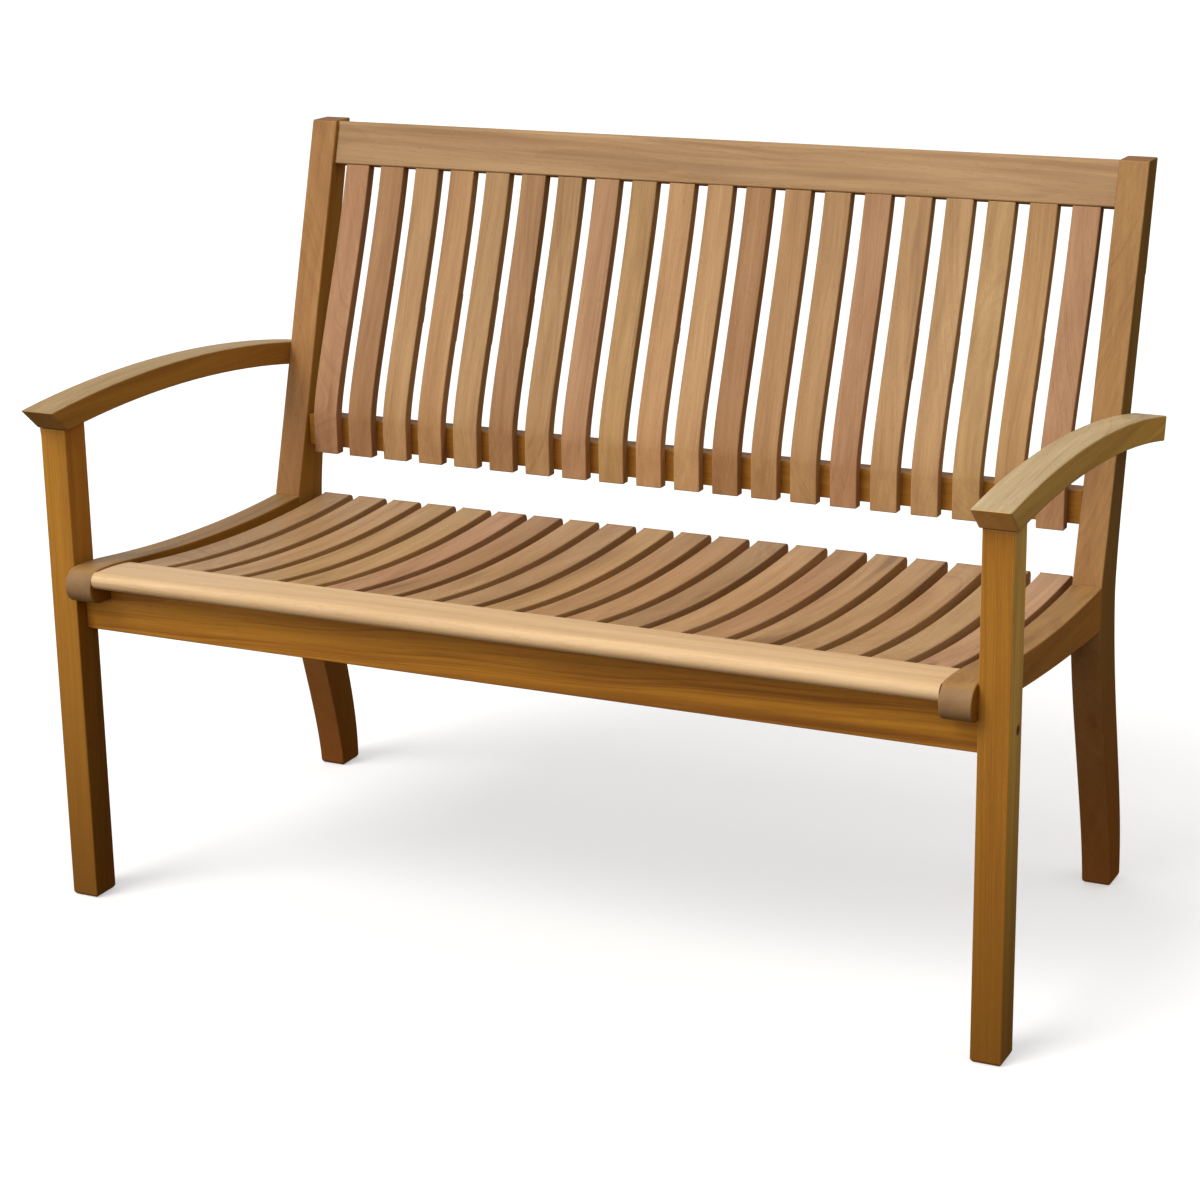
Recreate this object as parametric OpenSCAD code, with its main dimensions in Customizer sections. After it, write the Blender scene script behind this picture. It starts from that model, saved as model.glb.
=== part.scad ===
// Two-seat teak garden bench: post and rail frame, dished seat of front-to-back slats,
// raked back of upright slats and bowed arms. Left and right are as seen from the front.
// Depths called y are measured back from the front face of the front legs, heights from the ground.

/* [Overall] */
// Width over the outer faces of the front legs
bench_w = 1250; // [1000:10:1500]
// Height of the back posts
bench_h = 923; // [905:1:935]
// How far the arms reach forward of the front legs
arm_overhang = 31; // [20:1:40]

/* [Legs and side rails] */
// Width of a front leg, seen from the front
leg_w = 37; // [34:1:44]
// Depth of a front leg, seen from the side
leg_d = 42; // [40:1:50]
// Thickness of a rear leg and of a side rail
rail_t = 38; // [32:1:42]
// Height at which the straight rake of the back posts begins
rake_z = 428; // [426:1:432]
// Depth of the front face of a rear leg where the side rail meets it
rear_leg_y = 470; // [465:1:480]
// Chamfer around the feet
foot_chamfer = 3; // [1:1:5]
// How far the lowest point of a side rail's top stands above the seat
rail_proud = 6; // [0:1:8]
// Radius of the top of a side rail
rail_r = 2300; // [2200:10:2400]

/* [Seat] */
// Height of the lowest point of the dished seat
dip_z = 416.5; // [414:0.5:419]
// Depth of the lowest point of the dished seat
dip_y = 370; // [360:1:380]
// Radius of the dished seat, seen from the side
seat_r = 2120; // [2050:10:2200]
// Number of slats in the seat, and in the back
slat_count = 20; // [18:1:22]
// Width of a seat slat
seat_slat_w = 40; // [34:1:42]
// Thickness of a seat slat
seat_slat_t = 20; // [18:1:21]
// Depth at which the seat slats meet the nosing
nosing_y = 63; // [58:1:70]
// Radius at which the seat rolls over in front of the slats
roll_r = 500; // [400:10:600]
// Depth at which the seat slats end
slat_end_y = 523; // [515:1:526]

/* [Nosing and apron] */
// Thickness of the nosing
nosing_t = 21; // [19:1:22]
// How far the nosing reaches forward of the front legs
nosing_reach = 19; // [15:1:20]
// Height of the round nose of a side rail
nose_h = 44; // [40:1:46]
// How far the nose of a side rail reaches forward of the front legs
nose_reach = 22; // [20:1:26]
// Depth of the front face of the apron
apron_y = 20; // [16:1:20]
// Height of the lower edge of the apron
apron_z = 359; // [350:1:365]

/* [Back] */
// How far the crest rail stands back from the front of the posts
crest_recess = 6; // [4:1:10]
// Thickness of the crest rail
crest_t = 24; // [22:1:26]
// Height of the crest rail, measured along the rake
crest_h = 59; // [52:1:62]
// Depth of the front of the back slats at their lower end
back_slat_y = 488; // [484:1:491]
// Height of the lower end of the back slats
back_slat_z = 485; // [480:1:490]
// Width of a back slat
back_slat_w = 36; // [30:1:38]
// Thickness of a back slat
back_slat_t = 16; // [14:1:18]
// Height of the lower back rail
lower_rail_h = 43; // [40:1:46]
// Thickness of the lower back rail
lower_rail_t = 26; // [24:1:28]

/* [Arms] */
// Height of the highest point of an arm
arm_top_z = 657; // [650:0.5:662]
// Depth of the highest point of an arm
arm_top_y = 180; // [170:1:200]
// Radius of the bow of an arm
arm_r = 2090; // [1900:10:2300]
// Thickness of an arm
arm_t = 31; // [26:1:33]
// Width of an arm at its front end
arm_w = 46; // [44:1:54]
// Depth at which an arm ends
arm_end_y = 583; // [576:1:600]

/* [Fasteners] */
// Diameter of the dowel pins
dowel_d = 8; // [6:1:10]
// Length of the dowel pins
dowel_l = 34; // [30:1:34]
// Diameter of the screw shanks
screw_d = 4; // [3:0.5:4.5]
// Diameter of the apron bolts
bolt_d = 8; // [6:1:8]
// Diameter of the wood plugs over the bolts
plug_d = 12; // [10:1:14]

/* [Hidden] */
$fn = 48;

// Clearance between a pin or screw and its hole, on the radius
ease = 0.05;
// Facets along a long curve, and around a half-round edge
long_steps = 18;
round_steps = 14;
// Thickness and length of the tenons
tenon_t = 12;
tenon_l = 22;

half_w = bench_w / 2;
leg_x = half_w - leg_w;
rail_x = leg_x - rail_t;

// Centres of the circles that the seat, the tops of the side rails and the arms follow, as [y, z]
seat_c = [dip_y, dip_z + seat_r];
rail_c = [dip_y - 10, dip_z + rail_proud + rail_r];
arm_c = [arm_top_y, arm_top_z - arm_r];
// Centres of the circles over which the seat and the side rails roll at the front
seat_roll_c = under_circle(seat_c, seat_r, nosing_y, roll_r);
rail_roll_c = under_circle(rail_c, rail_r, nosing_y, roll_r);

// Post: front edge of the foot, the straight rake above the seat, and the depth at the top
foot_front_y = 558;
foot_back_y = 601;
post_top_y = 611;
post_top_d = 37.5;
block_low_z = 366;
waist_y = 531;
waist_z = 395;
rake = atan((post_top_y - rear_leg_y) / (bench_h - rake_z));
rake_up = [sin(rake), cos(rake)];
rake_back = [cos(rake), -sin(rake)];

// The model is centred on its depth, between the arm tips and the tops of the posts
shift_y = (arm_overhang - post_top_y - post_top_d) / 2;

// Crest rail: front lower corner, with its top level with the tops of the posts
crest_corner = post_front(bench_h) + [crest_recess, 0] - crest_h * rake_up;

// Lower back rail, against the backs of the slats
lower_rail_z = back_slat_z + 6;
lower_rail_y = back_slat_y + back_slat_t;

// Bearers under the seat slats, with their front edge, width and lower face
bearer_w = 46;
mid_y = 288;
mid_z = 377;
rear_y = 480;
rear_z = 378;

// Side rail: radius of its underside, and the point below the rear leg where that arc would be level
rail_low_r = 4180;
rail_low = [600, 367];

// Bolts through the front legs into the ends of the apron, seen as plugs on the legs
bolt_y = apron_y + 8;
bolt_z = apron_z + 30;
bolt_l = 62;
bolt_head_l = 5;
plug_l = 7;
nut_x = leg_x - 28;
nut_d = 12;
nut_l = 16;

// Screws: length of a slat screw, and the side-rail screws with their [y, z]
slat_screw_l = 34;
rail_screw_d = 5;
rail_screw_l = 58;
rail_screw_at = [[10, 436], [32, 413]];
arm_dowel_at = [538, 558];

teak = "#b98a55";
teak_pale = "#d3ae7d";
teak_brown = "#9c6b3c";
steel = "#b4b6b8";
brass = "#b5965a";

function slat_name(kind, i) = str(kind, "_", i < 10 ? "0" : "", i);

// Left edge of slat i, counted from the left, in an even row of slats of width w
function slat_x(i, w) = i * (2 * rail_x + w) / (slat_count + 1) - rail_x - w;

// Point on a circle round c that hangs below it, at depth y
function below(c, r, y) = [y, c[1] - sqrt(r * r - (y - c[0]) * (y - c[0]))];

// Point on a circle round c that rises above it, at depth y
function above(c, r, y) = [y, c[1] + sqrt(r * r - (y - c[0]) * (y - c[0]))];

// Point d outside the circle of radius r that hangs below c, square to the circle at depth y
function under_circle(c, r, y, d) = c + (below(c, r, y) - c) * (r + d) / r;

// Point d inside the circle of radius r that rises above c, square to the circle at depth y
function over_circle(c, r, y, d) = c + (above(c, r, y) - c) * (r - d) / r;

// Point d under the seat surface, square to the surface at depth y
function seat_point(y, d) = under_circle(seat_c, seat_r, y, d);

// Direction of the centre c of a circle, seen from a point
function angle_to(c, p) = atan2(c[1] - p[1], c[0] - p[0]);

function arc_below(c, r, y0, y1) = [for (i = [0:long_steps]) below(c, r, y0 + (y1 - y0) * i / long_steps)];

function arc_above(c, r, y0, y1) = [for (i = [0:long_steps]) above(c, r, y0 + (y1 - y0) * i / long_steps)];

// Half circle round c from the direction a, turning towards the front
function half_round(c, r, a) = [for (i = [0:round_steps]) let (t = a + 180 * i / round_steps) c + r * [cos(t), sin(t)]];

function bezier(p, t) =
    (1 - t) ^ 3 * p[0] + 3 * t * (1 - t) ^ 2 * p[1] + 3 * t ^ 2 * (1 - t) * p[2] + t ^ 3 * p[3];

function bezier_slope(p, t) =
    (1 - t) ^ 2 * (p[1] - p[0]) + 2 * t * (1 - t) * (p[2] - p[1]) + t ^ 2 * (p[3] - p[2]);

function bezier_points(p, n) = [for (i = [0:n]) bezier(p, i / n)];

// The same curve moved sideways by d, towards the back
function bezier_offset(p, n, d) =
    [for (i = [0:n]) let (s = bezier_slope(p, i / n)) bezier(p, i / n) + d * [s[1], -s[0]] / norm(s)];

function reversed(list) = [for (i = [len(list) - 1:-1:0]) list[i]];

// Front face of a back post at height z
function post_front(z) = [rear_leg_y + (z - rake_z) * tan(rake), z];

// Draws a side view, given as [y, z], between x0 and x1
module across(x0, x1) {
    translate([x0, shift_y, 0])
        rotate([90, 0, 90])
            linear_extrude(x1 - x0)
                children();
}

// Box from [x, y, z] to [x, y, z], with y measured from the front legs
module block(a, b) {
    translate([a[0], a[1] + shift_y, a[2]])
        cube(b - a);
}

// Cylinder along +x from a point
module rod_x(p, d, l) {
    translate([p[0], p[1] + shift_y, p[2]])
        rotate([0, 90, 0])
            cylinder(d = d, h = l);
}

// Cylinder along +y from a point
module rod_y(p, d, l) {
    translate([p[0], p[1] + shift_y, p[2]])
        rotate([-90, 0, 0])
            cylinder(d = d, h = l);
}

// A left-hand copy of a right-hand part
module handed(side) {
    mirror([side == "left" ? 1 : 0, 0, 0])
        children();
}

// Countersunk screw that points along +z from its head
module screw(d, l) {
    cylinder(d1 = 2 * d, d2 = d, h = d * 0.6);
    cylinder(d = d, h = l);
}

// Side view of a layer of the dished seat, from d0 to d1 under its surface and between two depths
module seat_band(d0, d1, y0, y1, steps = long_steps) {
    depths = [for (i = [0:steps]) y0 + (y1 - y0) * i / steps];
    polygon(concat([for (y = depths) seat_point(y, d0)], reversed([for (y = depths) seat_point(y, d1)])));
}

// Removes the sharp corner at p of a board that is turned by an angle
module corner_cut(p, angle, r) {
    translate(p)
        rotate(angle)
            difference() {
                translate([-r, -r])
                    square(r + 1);
                translate([-r, -r])
                    circle(r);
            }
}

// Side view of a rear leg: splayed below the seat, raked above it, in one sawn piece
module post_outline() {
    foot_front = [foot_front_y, foot_chamfer];
    foot_back = [foot_back_y, foot_chamfer];
    block_low = [rear_leg_y, block_low_z];
    waist = [waist_y, waist_z];
    top_back = [post_top_y + post_top_d, bench_h];
    front = bezier_points([foot_front, [551, 95], [474, 275], block_low], long_steps);
    low_back = bezier_points([waist, [540, 240], [603, 125], foot_back], long_steps);
    high_back = bezier_points([top_back, [596, 722], [waist_y - 4, 470], waist], long_steps);
    foot = [[foot_back_y - foot_chamfer, 0], [foot_front_y + foot_chamfer, 0]];
    polygon(concat(foot, front, [post_front(rake_z), post_front(bench_h)], high_back, low_back));
}

// Front view of a leg between x0 and x1, with its foot chamfered
module leg_front_view(x0, x1) {
    c = foot_chamfer;
    polygon([[x0 + c, 0], [x1 - c, 0], [x1, c], [x1, bench_h], [x0, bench_h], [x0, c]]);
}

// Keeps the part of its children that a chamfered leg takes in the front view
module within_leg(x0, x1) {
    intersection() {
        children();
        translate([0, bench_h, 0])
            rotate([90, 0, 0])
                linear_extrude(2 * bench_h)
                    leg_front_view(x0, x1);
    }
}

// Side view of the arm, from its undercut front to its cut rear end
module arm_outline() {
    top = arc_above(arm_c, arm_r, -arm_overhang, arm_end_y);
    under = arc_above(arm_c, arm_r - arm_t, 1, arm_end_y - 7);
    polygon(concat(top, reversed(under)));
}

// Side view of a side rail, with its round nose
module side_rail_outline() {
    nose_r = nose_h / 2;
    nose_c = over_circle(rail_roll_c, roll_r, nose_r - nose_reach, nose_r);
    nose = half_round(nose_c, nose_r, angle_to(nose_c, rail_roll_c));
    under = arc_below(rail_low + [0, rail_low_r], rail_low_r, nosing_y, rear_leg_y);
    roll = arc_above(rail_roll_c, roll_r, nose[0][0], nosing_y);
    top = arc_below(rail_c, rail_r, nosing_y, rear_leg_y);
    polygon(concat(nose, under, reversed(top), reversed(roll)));
}

// Side view of the nosing, with its round front edge
module nosing_outline() {
    r = nosing_t / 2;
    edge_y = r - nosing_reach;
    edge_c = over_circle(seat_roll_c, roll_r, edge_y, r);
    edge = half_round(edge_c, r, angle_to(edge_c, seat_roll_c));
    depths = [for (i = [1:6]) edge_y + (nosing_y - edge_y) * i / 6];
    under = [for (y = depths) over_circle(seat_roll_c, roll_r, y, nosing_t)];
    top = [for (y = depths) over_circle(seat_roll_c, roll_r, y, 0)];
    polygon(concat(edge, under, reversed(top)));
}

// Tongue of seat slat i in the back edge of the nosing
module slat_tongue(i) {
    x = slat_x(i, seat_slat_w);
    across(x + 4, x + seat_slat_w - 4)
        seat_band(6, 13, nosing_y - 10, nosing_y + 1, 1);
}

// Tenons of the +x side, drawn alike on the rail and in its mortise
module side_rail_tenon() {
    mid = (rail_x + leg_x) / 2;
    block([mid - tenon_t / 2, rear_leg_y - 1, 381], [mid + tenon_t / 2, rear_leg_y + 25, 413]);
}

module apron_tenon() {
    block([leg_x - 1, apron_y + 5, apron_z + 8], [leg_x + tenon_l, apron_y + 17, apron_z + 36]);
}

module front_leg_tenon() {
    block([leg_x + 8, 10, 600], [half_w - 8, leg_d - 10, 634]);
}

module lower_rail_tenon() {
    back = lower_rail_y + lower_rail_t;
    block([rail_x - 1, back - 13, lower_rail_z + 7], [rail_x + tenon_l, back - 1, lower_rail_z + lower_rail_h - 7]);
}

module rear_bearer_tenon() {
    block([rail_x - 1, rear_y + 26, rear_z + 4], [rail_x + tenon_l, rear_y + 38, rear_z + 20]);
}

module mid_bearer_tenon() {
    block([rail_x - 1, mid_y + 8, mid_z + 5], [rail_x + 18, mid_y + bearer_w - 8, mid_z + 17]);
}

// Places its children at the lower front edge of the crest rail, leaned back with the posts
module crest_frame() {
    translate([0, crest_corner[0] + shift_y, crest_corner[1]])
        rotate([-rake, 0, 0])
            children();
}

module crest_tenon() {
    crest_frame()
        translate([rail_x - 1, 6, 9])
            cube([tenon_l + 1, tenon_t, crest_h - 20]);
}

// Tenon on the upper end of back slat i
module back_slat_tenon(i) {
    crest_frame()
        translate([slat_x(i, back_slat_w) + 3, 5, -1])
            cube([back_slat_w - 6, 9, 15]);
}

// Pins that lock the tenons of the +x side, driven in from the back of the post
module back_pins(slack = 0) {
    pin_x = rail_x + 11;
    d = dowel_d + 2 * slack;
    crest_frame()
        translate([pin_x, -1, crest_h / 2])
            rotate([-90, 0, 0])
                cylinder(d = d, h = dowel_l + 6);
    for (at = [[lower_rail_y + 8, lower_rail_z + lower_rail_h / 2], [rear_y + 20, rear_z + 12]])
        rod_y([pin_x, at[0], at[1]], d, dowel_l + 6);
}

// Dowels between the arm and the post on the +x side
module arm_dowels(slack = 0) {
    for (y = arm_dowel_at)
        rod_x([leg_x - dowel_l / 2, y, above(arm_c, arm_r - arm_t / 2, y)[1]], dowel_d + 2 * slack, dowel_l);
}

// Bolt hole, with room for the head and the plug, on the +x side
module bolt_hole() {
    rod_x([half_w - plug_l - bolt_head_l - bolt_l, bolt_y, bolt_z], bolt_d + 2 * ease, bolt_l + 1);
    rod_x([half_w - plug_l - bolt_head_l, bolt_y, bolt_z], plug_d + 2 * ease, plug_l + bolt_head_l + 1);
}

module rail_screw_set(slack = 0) {
    for (at = rail_screw_at)
        translate([rail_x, at[0] + shift_y, at[1]])
            rotate([0, 90, 0])
                screw(rail_screw_d + 2 * slack, rail_screw_l);
}

// Screws of the slats number i: two up through the bearers and one through the lower back rail
module slat_screw_set(i, slack = 0) {
    seat_x = slat_x(i, seat_slat_w) + seat_slat_w / 2;
    back_x = slat_x(i, back_slat_w) + back_slat_w / 2;
    d = screw_d + 2 * slack;
    for (at = [[mid_y + bearer_w / 2, mid_z], [rear_y + 18, rear_z]])
        translate([seat_x, at[0] + shift_y, at[1]])
            screw(d, slat_screw_l);
    translate([back_x, lower_rail_y + lower_rail_t + shift_y, lower_rail_z + lower_rail_h / 2])
        rotate([90, 0, 0])
            screw(d, slat_screw_l);
}

module front_leg(side) {
    color(teak)
        handed(side)
            difference() {
                union() {
                    difference() {
                        within_leg(leg_x, half_w)
                            across(leg_x, half_w)
                                polygon([
                                    [foot_chamfer, 0], [leg_d - foot_chamfer, 0], [leg_d, foot_chamfer],
                                    [leg_d, 630], [0, 630], [0, foot_chamfer]
                                ]);
                        across(leg_x - 1, half_w + 1)
                            arm_outline();
                    }
                    front_leg_tenon();
                }
                apron_tenon();
                bolt_hole();
                rail_screw_set(ease);
            }
}

module rear_leg(side) {
    color(teak)
        handed(side)
            difference() {
                within_leg(rail_x, leg_x)
                    across(rail_x, leg_x)
                        post_outline();
                side_rail_tenon();
                crest_tenon();
                lower_rail_tenon();
                rear_bearer_tenon();
                back_pins(ease);
                arm_dowels(ease);
            }
}

module side_rail(side) {
    color(teak_brown)
        handed(side)
            difference() {
                union() {
                    across(rail_x, leg_x)
                        side_rail_outline();
                    side_rail_tenon();
                }
                mid_bearer_tenon();
                rail_screw_set(ease);
            }
}

// The arm is widest in front of the leg and its inner edge draws in to pass outside the post
module arm(side) {
    arm_x = (leg_x + half_w - arm_w) / 2;
    color(teak)
        handed(side)
            difference() {
                intersection() {
                    across(arm_x, arm_x + arm_w)
                        arm_outline();
                    translate([0, shift_y, 0])
                        linear_extrude(bench_h)
                            polygon([
                                [arm_x, -arm_overhang - 1], [arm_x + arm_w, -arm_overhang - 1],
                                [arm_x + arm_w, arm_end_y + 1], [leg_x, arm_end_y + 1],
                                [leg_x, rear_leg_y], [arm_x, leg_d]
                            ]);
                }
                front_leg_tenon();
                arm_dowels(ease);
            }
}

module crest_rail() {
    r = 6;
    corners = concat(
        [[0, 0]],
        [for (i = [0:6]) let (t = 180 - 15 * i) [r + r * cos(t), crest_h - r + r * sin(t)]],
        [for (i = [0:6]) let (t = 90 - 15 * i) [crest_t - r + r * cos(t), crest_h - r + r * sin(t)]],
        [[crest_t, 0]]
    );
    color(teak)
        difference() {
            union() {
                crest_frame()
                    translate([-rail_x, 0, 0])
                        rotate([90, 0, 90])
                            linear_extrude(2 * rail_x)
                                polygon(corners);
                for (side = ["left", "right"])
                    handed(side)
                        crest_tenon();
            }
            for (i = [1:slat_count])
                back_slat_tenon(i);
            for (side = ["left", "right"])
                handed(side)
                    back_pins(ease);
        }
}

module lower_back_rail() {
    color(teak)
        difference() {
            union() {
                block(
                    [-rail_x, lower_rail_y, lower_rail_z],
                    [rail_x, lower_rail_y + lower_rail_t, lower_rail_z + lower_rail_h]
                );
                for (side = ["left", "right"])
                    handed(side)
                        lower_rail_tenon();
            }
            for (i = [1:slat_count])
                slat_screw_set(i, ease);
            for (side = ["left", "right"])
                handed(side)
                    back_pins(ease);
        }
}

module seat_nosing() {
    color(teak_pale)
        difference() {
            across(-rail_x, rail_x)
                nosing_outline();
            for (i = [1:slat_count])
                slat_tongue(i);
        }
}

module front_apron() {
    top = [for (y = [apron_y, leg_d]) over_circle(seat_roll_c, roll_r, y, nosing_t + ease)];
    color(teak)
        difference() {
            union() {
                across(-leg_x, leg_x)
                    polygon([[apron_y, apron_z], [leg_d, apron_z], top[1], top[0]]);
                for (side = ["left", "right"])
                    handed(side)
                        apron_tenon();
            }
            for (side = ["left", "right"])
                handed(side) {
                    across(rail_x, leg_x + 1)
                        side_rail_outline();
                    across(rail_x, leg_x + 1)
                        translate([0, 20])
                            side_rail_outline();
                    bolt_hole();
                    rod_y([nut_x, leg_d - nut_l, bolt_z], nut_d + 2 * ease, nut_l + 1);
                }
        }
}

// A bearer under the seat slats, from its front edge y and lower face z
module bearer(y, z) {
    under = [for (i = [0:4]) seat_point(y + bearer_w * i / 4, seat_slat_t)];
    across(-rail_x, rail_x)
        polygon(concat([[y + bearer_w, z], [y, z]], under));
}

module rear_seat_rail() {
    color(teak)
        difference() {
            union() {
                bearer(rear_y, rear_z);
                for (side = ["left", "right"])
                    handed(side)
                        rear_bearer_tenon();
            }
            for (i = [1:slat_count])
                slat_screw_set(i, ease);
            for (side = ["left", "right"])
                handed(side)
                    back_pins(ease);
        }
}

module mid_seat_rail() {
    color(teak)
        difference() {
            union() {
                bearer(mid_y, mid_z);
                for (side = ["left", "right"])
                    handed(side)
                        mid_bearer_tenon();
            }
            for (i = [1:slat_count])
                slat_screw_set(i, ease);
        }
}

module back_slat(i) {
    x = slat_x(i, back_slat_w);
    foot = [back_slat_y, back_slat_z];
    straight_top = [back_slat_y, lower_rail_z + lower_rail_h];
    shoulder = crest_corner + 1.5 * rake_back;
    curve = [straight_top, [back_slat_y + 1, 580], shoulder - 130 * rake_up, shoulder];
    color(i % 3 == 0 ? teak_brown : teak)
        difference() {
            union() {
                across(x, x + back_slat_w)
                    polygon(concat(
                        [foot + [back_slat_t, 0], foot],
                        bezier_points(curve, long_steps),
                        reversed(bezier_offset(curve, long_steps, back_slat_t))
                    ));
                back_slat_tenon(i);
            }
            slat_screw_set(i, ease);
        }
}

module seat_slat(i) {
    x = slat_x(i, seat_slat_w);
    end = seat_point(slat_end_y, 0);
    color(i % 4 == 1 ? teak_brown : teak)
        difference() {
            union() {
                across(x, x + seat_slat_w)
                    difference() {
                        seat_band(0, seat_slat_t, nosing_y, slat_end_y);
                        corner_cut(end, angle_to(seat_c, end) - 90, 9);
                    }
                slat_tongue(i);
            }
            slat_screw_set(i, ease);
        }
}

module dowel_pins() {
    color(teak_brown)
        for (side = ["left", "right"])
            handed(side) {
                intersection() {
                    back_pins();
                    across(rail_x, leg_x)
                        post_outline();
                }
                arm_dowels();
            }
}

module apron_bolts() {
    color(steel)
        for (side = ["left", "right"])
            handed(side) {
                rod_x([half_w - plug_l - bolt_head_l - bolt_l, bolt_y, bolt_z], bolt_d, bolt_l + 1);
                rod_x([half_w - plug_l - bolt_head_l, bolt_y, bolt_z], plug_d - 1, bolt_head_l);
            }
}

module barrel_nuts() {
    color(steel)
        for (side = ["left", "right"])
            handed(side)
                difference() {
                    rod_y([nut_x, leg_d - nut_l, bolt_z], nut_d, nut_l - 1);
                    rod_x([nut_x - nut_d, bolt_y, bolt_z], bolt_d + 2 * ease, 2 * nut_d);
                }
}

module wood_plugs() {
    color(teak_brown)
        for (side = ["left", "right"])
            handed(side)
                rod_x([half_w - plug_l, bolt_y, bolt_z], plug_d, plug_l);
}

module rail_screws() {
    color(steel)
        for (side = ["left", "right"])
            handed(side)
                rail_screw_set();
}

module slat_screws() {
    color(brass)
        for (i = [1:slat_count])
            slat_screw_set(i);
}

front_leg("left");  // front_leg_left
front_leg("right");  // front_leg_right
rear_leg("left");  // rear_leg_left
rear_leg("right");  // rear_leg_right
side_rail("left");  // side_rail_left
side_rail("right");  // side_rail_right
arm("left");  // arm_left
arm("right");  // arm_right
crest_rail();
lower_back_rail();
seat_nosing();
front_apron();
rear_seat_rail();
mid_seat_rail();
for (i = [1:slat_count])
    back_slat(i);
for (i = [1:slat_count])
    seat_slat(i);
dowel_pins();
apron_bolts();
barrel_nuts();
wood_plugs();
rail_screws();
slat_screws();
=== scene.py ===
"""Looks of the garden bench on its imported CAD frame: oiled teak, steel and brass, light and camera."""

import math
import random

import bpy
from mathutils import Matrix, Vector


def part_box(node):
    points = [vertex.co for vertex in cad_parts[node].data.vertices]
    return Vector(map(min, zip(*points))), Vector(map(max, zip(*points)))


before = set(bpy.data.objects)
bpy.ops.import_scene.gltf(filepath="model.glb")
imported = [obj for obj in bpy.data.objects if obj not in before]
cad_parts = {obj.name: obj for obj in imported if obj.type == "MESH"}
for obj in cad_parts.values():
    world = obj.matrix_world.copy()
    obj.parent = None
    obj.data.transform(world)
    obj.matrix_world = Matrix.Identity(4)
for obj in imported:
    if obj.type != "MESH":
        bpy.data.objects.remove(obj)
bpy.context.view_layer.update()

MM = 0.001
SLATS = 20

# Grain directions. The back slats lean, and the rear posts lean less because half of them is below the seat
ALONG_X, ALONG_Y, ALONG_Z = (1, 0, 0), (0, 1, 0), (0, 0, 1)
ALONG_SLAT = (0, 0.273, 0.962)
ALONG_POST = (0, 0.16, 1)

# Sanded arrises
BOARD_ARRIS = 2.0 * MM
SLAT_ARRIS = 1.6 * MM
ARRIS_STEPS = 3
ARRIS_ANGLE = math.radians(35)
ARRIS_SHORTEST = 3.5 * MM
WELD = 0.01 * MM
FLAT_ANGLE = math.radians(0.3)
SHARP_ANGLE = math.radians(40)

# Camera, as the photograph's perspective gives it
CAMERA_AT = (1.5129, -3.1282, 1.4313)
CAMERA_YAW = math.radians(25.99)
CAMERA_PITCH = math.radians(16.76)
CAMERA_ROLL = math.radians(-0.89)
CAMERA_LENS = 86.7
CAMERA_SENSOR = 36

# Wood colours, as sRGB values. MAIZE, FAWN, BARK, TOBACCO and OLIVE, and SIENNA on the side rails' sides, are
# painted light and shade for the faces that look sideways
STRAW = (0.885, 0.76, 0.585)
GOLD = (0.72, 0.575, 0.385)
HONEY = (0.735, 0.58, 0.405)
TAN = (0.705, 0.553, 0.38)
ROSE = (0.71, 0.54, 0.395)
UMBER = (0.665, 0.51, 0.35)
WHEAT = (0.67, 0.53, 0.372)
CREAM = (0.767, 0.678, 0.52)
KHAKI = (0.655, 0.548, 0.36)
OCHRE = (0.65, 0.475, 0.275)
AMBER = (0.72, 0.49, 0.15)
RUSSET = (0.725, 0.485, 0.14)
SIENNA = (0.62, 0.415, 0.12)
OLIVE = (0.80, 0.63, 0.28)
ASH = (0.63, 0.485, 0.29)
DRAB = (0.54, 0.42, 0.30)
BARK = (0.46, 0.32, 0.08)
TOBACCO = (0.67, 0.49, 0.19)
MAIZE = (0.87, 0.71, 0.325)
APRICOT = (0.92, 0.62, 0.15)
FAWN = (0.70, 0.51, 0.20)
PLUG = (0.45, 0.28, 0.14)
FRONT_FOOT_DARK = (0.43, 0.26, 0.04)
REAR_FOOT_DARK = (0.47, 0.24, 0.0)

# Stretch of each layer of the teak's figure along the board and across it, in cycles per metre
WAVE = (2.2, 9.0, 9.0)
BROAD = (1.6, 14.0, 14.0)
BAND = (2.4, 60.0, 60.0)
STREAK = (1.1, 42.0, 42.0)
STRAND = (5.0, 230.0, 230.0)
FIBRE = (18.0, 900.0, 900.0)
PORE = (85.0, 1700.0, 1700.0)
RINGS = 190.0
RING_DRIFT = 55.0

# Heights between which the legs' darkening towards the ground fades out
FOOT_DARK_TOP = 0.62
FOOT_DARK_BOTTOM = -0.15

# Light
LAMP_WHITE = (1.0, 0.98, 0.94)
PANEL_WARM = (1.0, 0.93, 0.80)
WALL_BRIGHT = (0.84, 0.84, 0.85, 1)
WALL_DIM = (0.10, 0.060, 0.022, 1)
WALL_SEEN = (1.15, 1.15, 1.15, 1)
FLOOR_GREY = (0.66, 0.66, 0.66)


def linear(colour):
    """An sRGB colour in linear values."""
    return tuple(max(c, 0.0) / 12.92 if c <= 0.04045 else ((c + 0.055) / 1.055) ** 2.4 for c in colour)


# ---------------------------------------------------------------- node helpers


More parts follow.
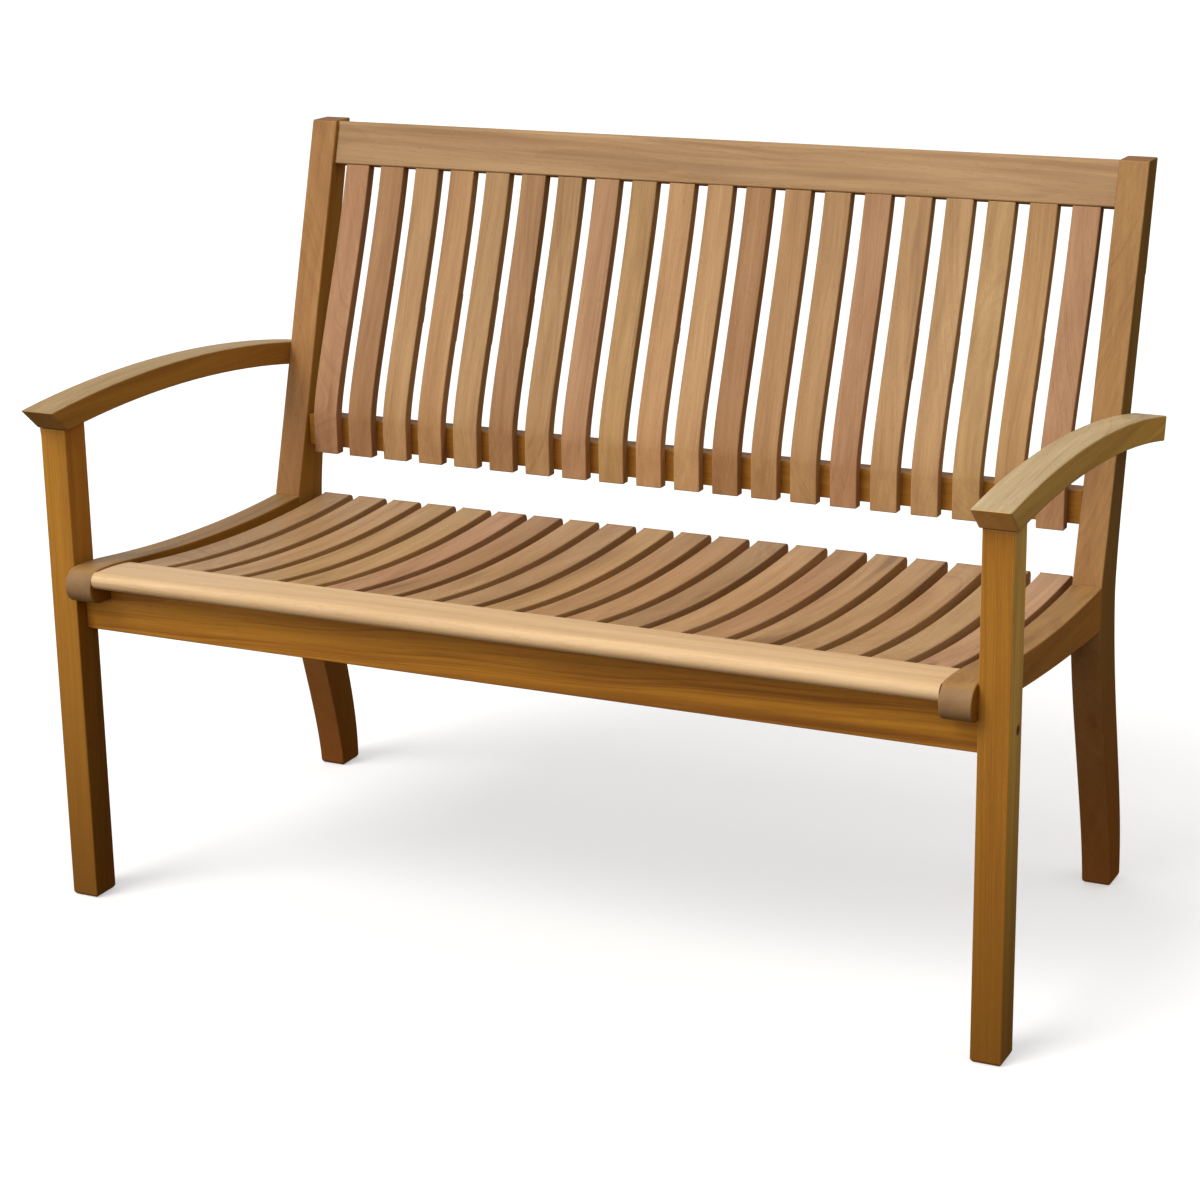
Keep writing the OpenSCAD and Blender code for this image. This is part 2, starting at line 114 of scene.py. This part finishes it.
class Tree:
    """Short calls for adding nodes to a node tree and linking them."""

    def __init__(self, tree):
        self.tree = tree

    def put(self, socket, value):
        if isinstance(value, bpy.types.NodeSocket):
            self.tree.links.new(value, socket)
        elif value is not None:
            socket.default_value = value

    def node(self, kind, inputs=(), **settings):
        n = self.tree.nodes.new(kind)
        for name, value in settings.items():
            setattr(n, name, value)
        for name, value in dict(inputs).items():
            self.put(n.inputs[name], value)
        return n

    def math(self, operation, a, b=None, c=None, clamp=False):
        n = self.node("ShaderNodeMath", operation=operation, use_clamp=clamp)
        for socket, value in zip(n.inputs, (a, b, c)):
            self.put(socket, value)
        return n.outputs[0]

    def vector(self, operation, a, b=None, out="Vector"):
        n = self.node("ShaderNodeVectorMath", operation=operation)
        self.put(n.inputs[0], a)
        self.put(n.inputs[1], b)
        return n.outputs[out]

    def noise(self, at, scale=1.0, detail=2.0, rough=0.5, distortion=0.0):
        inputs = {"Vector": at, "Scale": scale, "Detail": detail, "Roughness": rough}
        return self.node("ShaderNodeTexNoise", {**inputs, "Distortion": distortion}).outputs["Fac"]

    def scaled(self, at, scale):
        return self.vector("MULTIPLY", at, scale)

    def step(self, value, low, high, to_low=0.0, to_high=1.0):
        inputs = {0: value, 1: low, 2: high, 3: to_low, 4: to_high}
        return self.node("ShaderNodeMapRange", inputs, interpolation_type="SMOOTHSTEP").outputs[0]

    def mix(self, fac, a, b):
        n = self.node("ShaderNodeMix", data_type="RGBA")
        self.put(n.inputs[0], fac)
        self.put(n.inputs[6], a)
        self.put(n.inputs[7], b)
        return n.outputs[2]


# ---------------------------------------------------------------- teak


def wood_group():
    """Solid teak in board coordinates: x along the grain, growth rings round a pith line parallel to x."""
    group = bpy.data.node_groups.new("teak_figure", "ShaderNodeTree")
    face = group.interface
    face.new_socket(name="Board", in_out="INPUT", socket_type="NodeSocketVector")
    face.new_socket(name="Axis", in_out="INPUT", socket_type="NodeSocketVector")
    for name in ("Light", "Dark", "Streak", "End"):
        face.new_socket(name=name, in_out="INPUT", socket_type="NodeSocketColor")
    for name in ("Figure", "Streaks"):
        face.new_socket(name=name, in_out="INPUT", socket_type="NodeSocketFloat")
    face.new_socket(name="Color", in_out="OUTPUT", socket_type="NodeSocketColor")
    for name in ("Roughness", "Height"):
        face.new_socket(name=name, in_out="OUTPUT", socket_type="NodeSocketFloat")
    t = Tree(group)
    source = t.node("NodeGroupInput").outputs
    board = source["Board"]

    # The log's own waviness, far longer along the grain than across it
    wave = t.node(
        "ShaderNodeTexNoise",
        {"Vector": t.scaled(board, WAVE), "Scale": 1.0, "Detail": 2.0, "Roughness": 0.45},
    ).outputs["Color"]
    wave = t.vector("SUBTRACT", wave, (0.5, 0.5, 0.5))
    bent = t.vector("ADD", board, t.scaled(wave, (0.0, 0.018, 0.018)))
    radius = t.vector("LENGTH", t.scaled(bent, (0.0, 1.0, 1.0)), out="Value")

    # Growth rings of uneven width: a slow rise in tone, then a sharp fall at the ring's edge
    slow = t.math("MULTIPLY", radius, RING_DRIFT)
    drift = t.node("ShaderNodeTexNoise", {"W": slow, "Detail": 2.0}, noise_dimensions="1D").outputs["Fac"]
    count = t.math("ADD", t.math("MULTIPLY", radius, RINGS), t.math("MULTIPLY", drift, 3.0))
    ring = t.math("FRACT", count)
    late = t.math("MULTIPLY", t.step(ring, 0.15, 0.82), t.step(ring, 1.0, 0.90))
    ring_no = t.math("FLOOR", count)
    strength = t.node("ShaderNodeTexWhiteNoise", {"W": ring_no}, noise_dimensions="1D").outputs["Value"]
    late = t.math("MULTIPLY", late, t.math("MULTIPLY_ADD", strength, 0.7, 0.3))

    # Fibres, vessels and broad colour drift, all drawn out along the grain
    fibre = t.noise(t.scaled(bent, FIBRE), detail=3.0, rough=0.6)
    strand = t.noise(t.scaled(bent, STRAND), detail=3.0, rough=0.55)
    band = t.noise(t.scaled(bent, BAND), detail=3.0, rough=0.5)
    broad = t.noise(t.scaled(board, BROAD), detail=2.0, rough=0.5)
    pore = t.step(t.noise(t.scaled(bent, PORE), detail=1.0), 0.62, 0.74)
    pore = t.math("MULTIPLY", pore, t.step(ring, 0.55, 0.0, 0.35, 1.0))

    tone = t.math("MULTIPLY", late, 0.34)
    for layer, weight in ((band, 1.25), (strand, 0.75), (fibre, 0.45), (broad, 0.9)):
        tone = t.math("ADD", tone, t.math("MULTIPLY", t.math("SUBTRACT", layer, 0.5), weight))
    tone = t.math("MULTIPLY", tone, source["Figure"])
    tone = t.math("ADD", tone, 0.32, clamp=True)
    colour = t.mix(tone, source["Light"], source["Dark"])

    streak = t.noise(t.scaled(bent, STREAK), detail=2.0, rough=0.4, distortion=0.2)
    streak = t.step(streak, 0.60, 0.76)
    colour = t.mix(t.math("MULTIPLY", streak, source["Streaks"]), colour, source["Streak"])
    colour = t.mix(t.math("MULTIPLY", pore, 0.45), colour, source["Streak"])

    # End grain takes the oil differently: its own colour, and duller, where the surface faces along the grain
    normal = t.node("ShaderNodeNewGeometry").outputs["Normal"]
    facing = t.math("ABSOLUTE", t.vector("DOT_PRODUCT", normal, source["Axis"], out="Value"))
    end = t.step(facing, 0.40, 0.75)
    colour = t.mix(t.math("MULTIPLY", end, 0.62), colour, source["End"])

    rough = t.math("MULTIPLY_ADD", tone, 0.10, 0.44)
    rough = t.math("MULTIPLY_ADD", pore, 0.18, rough)
    rough = t.math("MULTIPLY_ADD", end, 0.16, rough)
    height = t.math("MULTIPLY", late, 0.35)
    height = t.math("MULTIPLY_ADD", fibre, 0.5, height)
    height = t.math("MULTIPLY_ADD", pore, -0.9, height)

    out = t.node("NodeGroupOutput")
    for name, value in (("Color", colour), ("Roughness", rough), ("Height", height)):
        t.put(out.inputs[name], value)
    return group


TEAK = wood_group()


def tones(tint, warm):
    """The colours between and within the growth rings of a board."""
    light = (tint[0] + 0.035, tint[1] + 0.030 - warm, tint[2] + 0.020 - warm)
    dark = (tint[0] * 0.80, tint[1] * 0.735 - warm, tint[2] * 0.66 - warm)
    return (*linear(light), 1), (*linear(dark), 1)


def teak(name, tint, axis, centre, seed, figure, streaks, side_shade=None, end=None, foot_dark=None):
    """A piece's own board of teak: its grain along axis, cut from its own place in its own log.

    The faces that look sideways take painted light and shade: a lighter or darker colour for how the light
    falls on that side. The sawn ends take end, and where a colour is given for the feet, the wood turns
    darker towards the ground."""
    rng = random.Random(seed)
    material = bpy.data.materials.new(name)
    material.use_nodes = True
    material.node_tree.nodes.clear()
    t = Tree(material.node_tree)
    along = Vector(axis).normalized()
    turn = along.rotation_difference(Vector((1, 0, 0))).to_matrix()
    pith = rng.uniform(0.09, 0.22)
    angle = rng.uniform(0, math.tau)
    lean_y = Matrix.Rotation(rng.uniform(-0.035, 0.035), 3, "Y")
    lean_z = Matrix.Rotation(rng.uniform(-0.035, 0.035), 3, "Z")
    turn = lean_y @ lean_z @ turn
    place = Vector((rng.uniform(-40, 40), pith * math.cos(angle), pith * math.sin(angle)))
    point = t.node("ShaderNodeTexCoord").outputs["Object"]
    board = t.node(
        "ShaderNodeMapping",
        {"Vector": point, "Location": place - turn @ Vector(centre), "Rotation": turn.to_euler("XYZ")},
    ).outputs[0]

    warm = rng.uniform(-0.010, 0.010)
    light, dark = tones(tint, warm)
    deep = (tint[0] * 0.58, tint[1] * 0.47, tint[2] * 0.37)
    end = end or (tint[0] * 0.68, tint[1] * 0.59, tint[2] * 0.50)
    # Painted light and shade: faces that look along x take their own lighter or darker colour for how the
    # light falls on that side
    if side_shade:
        normal = t.node("ShaderNodeNewGeometry").outputs["Normal"]
        side = t.math("ABSOLUTE", t.vector("DOT_PRODUCT", normal, ALONG_X, out="Value"))
        side = t.step(side, 0.55, 0.90)
        light, dark = (t.mix(side, a, b) for a, b in zip((light, dark), tones(side_shade, warm)))
    wood = t.node("ShaderNodeGroup", node_tree=TEAK)
    for key, value in (
        ("Board", board),
        ("Axis", tuple(along)),
        ("Light", light),
        ("Dark", dark),
        ("Streak", (*linear(deep), 1)),
        ("End", (*linear(end), 1)),
        ("Figure", figure),
        ("Streaks", streaks),
    ):
        t.put(wood.inputs[key], value)
    colour = wood.outputs["Color"]
    if foot_dark:
        # The legs turn darker towards the ground
        low = t.step(t.node("ShaderNodeSeparateXYZ", {0: point}).outputs[2], FOOT_DARK_TOP, FOOT_DARK_BOTTOM)
        colour = t.mix(t.math("MULTIPLY", low, 0.9), colour, (*linear(foot_dark), 1))

    # Arrises are rubbed paler and smoother
    soft = t.node("ShaderNodeBevel", {"Radius": 2.4 * MM}, samples=4).outputs[0]
    flat = t.node("ShaderNodeNewGeometry").outputs["Normal"]
    edge = t.step(t.vector("DOT_PRODUCT", soft, flat, out="Value"), 0.985, 0.86)
    colour = t.mix(t.math("MULTIPLY", edge, 0.18), colour, (*linear(STRAW), 1))

    height = wood.outputs["Height"]
    bump = t.node("ShaderNodeBump", {"Height": height, "Strength": 0.35, "Distance": 0.35 * MM})
    shader = t.node(
        "ShaderNodeBsdfPrincipled",
        {"Base Color": colour, "Roughness": wood.outputs["Roughness"], "Normal": bump.outputs[0]},
    )
    shader.inputs["Specular IOR Level"].default_value = 0.22
    shader.inputs["Coat Weight"].default_value = 0.03
    shader.inputs["Coat Roughness"].default_value = 0.42
    t.node("ShaderNodeOutputMaterial", {"Surface": shader.outputs[0]})
    return material


# ---------------------------------------------------------------- metal


def metal(name, colour, rough):
    """Metal that is scuffed and spotted by the weather."""
    material = bpy.data.materials.new(name)
    material.use_nodes = True
    material.node_tree.nodes.clear()
    t = Tree(material.node_tree)
    point = t.node("ShaderNodeTexCoord").outputs["Object"]
    scuff = t.noise(point, scale=900.0, detail=3.0, rough=0.6)
    spot = t.step(t.noise(point, scale=240.0, detail=2.0), 0.52, 0.70)
    base = t.mix(t.math("MULTIPLY", spot, 0.35), (*colour, 1), (*(c * 0.45 for c in colour), 1))
    roughness = t.math("MULTIPLY_ADD", scuff, 0.25, rough)
    bump = t.node("ShaderNodeBump", {"Height": scuff, "Strength": 0.2, "Distance": 0.1 * MM})
    shader = t.node(
        "ShaderNodeBsdfPrincipled",
        {"Base Color": base, "Roughness": roughness, "Metallic": 1.0, "Normal": bump.outputs[0]},
    )
    t.node("ShaderNodeOutputMaterial", {"Surface": shader.outputs[0]})
    return material


# ---------------------------------------------------------------- softened edges


def geometry_group(name, build):
    """A modifier's node group that puts the mesh through build."""
    group = bpy.data.node_groups.new(name, "GeometryNodeTree")
    for in_out in ("INPUT", "OUTPUT"):
        group.interface.new_socket(name="Geometry", in_out=in_out, socket_type="NodeSocketGeometry")
    t = Tree(group)
    made = build(t, t.node("NodeGroupInput").outputs[0])
    t.put(t.node("NodeGroupOutput").inputs[0], made)
    return group


def join_faces(t, mesh):
    """Joins the facets that meet and drops the imported normals."""
    mesh = t.node("GeometryNodeMergeByDistance", {"Geometry": mesh, "Distance": WELD}).outputs[0]
    return t.node("GeometryNodeRemoveAttribute", {"Geometry": mesh, "Name": "custom_normal"}).outputs[0]


def mark_arrises(t, mesh):
    """Weighs the long sharp edges for the bevel, and leaves out the small ones round holes."""
    angle = t.node("GeometryNodeInputMeshEdgeAngle").outputs["Signed Angle"]
    sharp = t.node("FunctionNodeCompare", {0: angle, 1: ARRIS_ANGLE}, operation="GREATER_THAN").outputs[0]
    ends = t.node("GeometryNodeInputMeshEdgeVertices")
    span = t.vector("SUBTRACT", ends.outputs["Position 1"], ends.outputs["Position 2"])
    span = t.vector("LENGTH", span, out="Value")
    long = t.node("FunctionNodeCompare", {0: span, 1: ARRIS_SHORTEST}, operation="GREATER_THAN").outputs[0]
    both = t.node("FunctionNodeBooleanMath", {0: sharp, 1: long}, operation="AND").outputs[0]
    store = t.node("GeometryNodeStoreNamedAttribute", data_type="FLOAT", domain="EDGE")
    t.put(store.inputs["Geometry"], mesh)
    t.put(store.inputs["Name"], "bevel_weight_edge")
    t.put(store.inputs["Value"], both)
    return store.outputs[0]


def smooth_curves(t, mesh):
    """Shades curved faces smooth and keeps the sharp edges."""
    angle = t.node("GeometryNodeInputMeshEdgeAngle").outputs["Unsigned Angle"]
    sharp = t.node("FunctionNodeCompare", {0: angle, 1: SHARP_ANGLE}, operation="GREATER_THAN").outputs[0]
    faces = t.node("GeometryNodeSetShadeSmooth", {"Geometry": mesh, "Shade Smooth": True}, domain="FACE")
    edges = t.node("GeometryNodeSetShadeSmooth", {"Selection": sharp, "Shade Smooth": False}, domain="EDGE")
    t.put(edges.inputs["Geometry"], faces.outputs[0])
    return edges.outputs[0]


JOIN = geometry_group("join_faces", join_faces)
MARK = geometry_group("mark_arrises", mark_arrises)
SMOOTH = geometry_group("smooth_curves", smooth_curves)


def nodes_step(piece, group):
    piece.modifiers.new(group.name, "NODES").node_group = group


def soften(piece, width):
    """Gives a sawn piece its sanded arrises."""
    nodes_step(piece, JOIN)
    planar = piece.modifiers.new("planar", "DECIMATE")
    planar.decimate_type = "DISSOLVE"
    planar.angle_limit = FLAT_ANGLE
    nodes_step(piece, MARK)
    arris = piece.modifiers.new("arris", "BEVEL")
    arris.limit_method = "WEIGHT"
    arris.width = width
    arris.segments = ARRIS_STEPS
    arris.use_clamp_overlap = False
    nodes_step(piece, SMOOTH)
    weighted = piece.modifiers.new("weighted", "WEIGHTED_NORMAL")
    weighted.keep_sharp = True


def smooth_round(piece):
    """Shades a turned piece smooth round its axis."""
    nodes_step(piece, JOIN)
    nodes_step(piece, SMOOTH)


def dress(node, material):
    """Gives a CAD node its material, and returns its object."""
    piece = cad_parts[node]
    piece.data.materials.clear()
    piece.data.materials.append(material)
    return piece


def middle(node):
    low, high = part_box(node)
    return (low + high) / 2


# ---------------------------------------------------------------- the pieces

# Tint, grain, figure, streaks, the painted light and shade on the faces that look sideways, the colours of
# the sawn ends, and the colour the legs darken to towards the ground
BOARDS = {
    "front_leg_left": (AMBER, ALONG_Z, 0.9, 0.25, None, None, FRONT_FOOT_DARK),
    "front_leg_right": (AMBER, ALONG_Z, 0.9, 0.25, MAIZE, None, FRONT_FOOT_DARK),
    "rear_leg_left": (OCHRE, ALONG_POST, 0.8, 0.3, FAWN, None, REAR_FOOT_DARK),
    "rear_leg_right": (OCHRE, ALONG_POST, 0.8, 0.3, BARK, None, REAR_FOOT_DARK),
    "side_rail_left": (ASH, ALONG_Y, 0.9, 0.3, SIENNA, DRAB, None),
    "side_rail_right": (ASH, ALONG_Y, 0.9, 0.3, SIENNA, DRAB, None),
    "arm_left": (KHAKI, ALONG_Y, 0.8, 0.2, TOBACCO, SIENNA, None),
    "arm_right": (CREAM, ALONG_Y, 0.8, 0.2, OLIVE, APRICOT, None),
    "crest_rail": (WHEAT, ALONG_X, 0.9, 0.3, None, None, None),
    "lower_back_rail": (SIENNA, ALONG_X, 0.9, 0.3, None, None, None),
    "seat_nosing": (STRAW, ALONG_X, 0.6, 0.1, None, None, None),
    "front_apron": (RUSSET, ALONG_X, 1.5, 0.7, None, None, None),
    "rear_seat_rail": (RUSSET, ALONG_X, 0.9, 0.3, None, None, None),
    "mid_seat_rail": (RUSSET, ALONG_X, 0.9, 0.3, None, None, None),
}
SLAT_TINTS = (GOLD, HONEY, TAN, TAN, ROSE, UMBER)

for seed, (node, (tint, axis, *look)) in enumerate(BOARDS.items()):
    soften(dress(node, teak("teak_" + node, tint, axis, middle(node), seed, *look)), BOARD_ARRIS)

# Each slat has its own tint, shifted by about depth: less at the left slat, more at the right one. On the
# back slats this is painted shade, darker towards the right where the panel's light falls on them; the seat
# slats are made a little lighter
draw = random.Random(5)
for kind, axis, depth in (("back_slat", ALONG_SLAT, -0.02), ("seat_slat", ALONG_Y, 0.008)):
    for i in range(1, SLATS + 1):
        node = f"{kind}_{i:02d}"
        tint = draw.choice(SLAT_TINTS)
        shade = depth * (0.4 + 1.2 * i / SLATS) + draw.uniform(-0.015, 0.015)
        tint = tuple(c + shade for c in tint)
        seed, streaks = 100 + draw.randrange(9999), draw.uniform(0.1, 0.7)
        soften(dress(node, teak("teak_" + node, tint, axis, middle(node), seed, 0.75, streaks)), SLAT_ARRIS)

for node, axis in (("dowel_pins", ALONG_Y), ("wood_plugs", ALONG_X)):
    smooth_round(dress(node, teak("teak_" + node, PLUG, axis, middle(node), 77, 0.8, 0.2)))
STEEL = metal("stainless_steel", (0.62, 0.62, 0.61), 0.24)
BRASS = metal("aged_brass", (0.60, 0.43, 0.19), 0.28)
for node in ("apron_bolts", "barrel_nuts", "rail_screws"):
    smooth_round(dress(node, STEEL))
smooth_round(dress("slat_screws", BRASS))


# ---------------------------------------------------------------- floor, light and camera


def backdrop(name, colour, glow):
    """A matt backdrop that is lit a little from behind, so that shadows on it stay pale."""
    material = bpy.data.materials.new(name)
    material.use_nodes = True
    shader = material.node_tree.nodes["Principled BSDF"]
    shader.inputs["Base Color"].default_value = (*colour, 1)
    shader.inputs["Roughness"].default_value = 0.9
    shader.inputs["Emission Color"].default_value = (1, 1, 1, 1)
    shader.inputs["Emission Strength"].default_value = glow
    return material


bpy.ops.mesh.primitive_plane_add(size=120, location=(0, 0, 0))
floor = bpy.context.object
floor.name = "studio_floor"
floor.data.materials.append(backdrop("pale_floor", FLOOR_GREY, 0.42))
# The bench is lit from below by the dim lower half of the studio, not by the bright floor
floor.visible_diffuse = False
floor.visible_glossy = False


def far_light(name, direction, strength, spread):
    """A large, distant softbox that shines along direction."""
    data = bpy.data.lights.new(name, "SUN")
    data.energy = strength
    data.color = LAMP_WHITE
    data.angle = math.radians(spread)
    lamp = bpy.data.objects.new(name, data)
    bpy.context.scene.collection.objects.link(lamp)
    lamp.rotation_euler = Vector(direction).to_track_quat("-Z", "Y").to_euler()


far_light("key", (0.35, 0.60, -0.82), 1.8, 30)
far_light("fill", (0.10, 0.90, -0.40), 0.65, 60)

# A weak warm panel to the right, behind the back
panel_data = bpy.data.lights.new("panel", "AREA")
panel_data.shape = "SQUARE"
panel_data.size = 1.2
panel_data.energy = 3.8
panel_data.color = PANEL_WARM
panel = bpy.data.objects.new("panel", panel_data)
bpy.context.scene.collection.objects.link(panel)
panel.location = (1.60, 0.70, 0.45)
panel.rotation_euler = Vector((-1, 0, 0)).to_track_quat("-Z", "Y").to_euler()
panel.visible_camera = False

# Studio walls: bright above and to the left, dim and warm below and to the right, and plain to the camera
world = bpy.data.worlds.new("studio")
bpy.context.scene.world = world
world.use_nodes = True
w = Tree(world.node_tree)
around = w.node("ShaderNodeTexCoord").outputs["Generated"]
bright = w.vector("DOT_PRODUCT", around, (-0.42, -0.10, 0.90), out="Value")
wall = w.mix(w.step(bright, -0.25, 0.40), WALL_DIM, WALL_BRIGHT)
seen = w.node("ShaderNodeLightPath").outputs["Is Camera Ray"]
background = world.node_tree.nodes["Background"]
w.put(background.inputs["Color"], w.mix(seen, wall, WALL_SEEN))
background.inputs["Strength"].default_value = 0.80

camera_data = bpy.data.cameras.new("camera")
camera_data.lens = CAMERA_LENS
camera_data.sensor_width = CAMERA_SENSOR
camera = bpy.data.objects.new("camera", camera_data)
bpy.context.scene.collection.objects.link(camera)
camera.matrix_world = (
    Matrix.Translation(CAMERA_AT)
    @ Matrix.Rotation(CAMERA_YAW, 4, "Z")
    @ Matrix.Rotation(math.pi / 2 - CAMERA_PITCH, 4, "X")
    @ Matrix.Rotation(CAMERA_ROLL, 4, "Z")
)
bpy.context.scene.camera = camera
bpy.context.scene.view_settings.view_transform = "Standard"

bpy.context.view_layer.update()
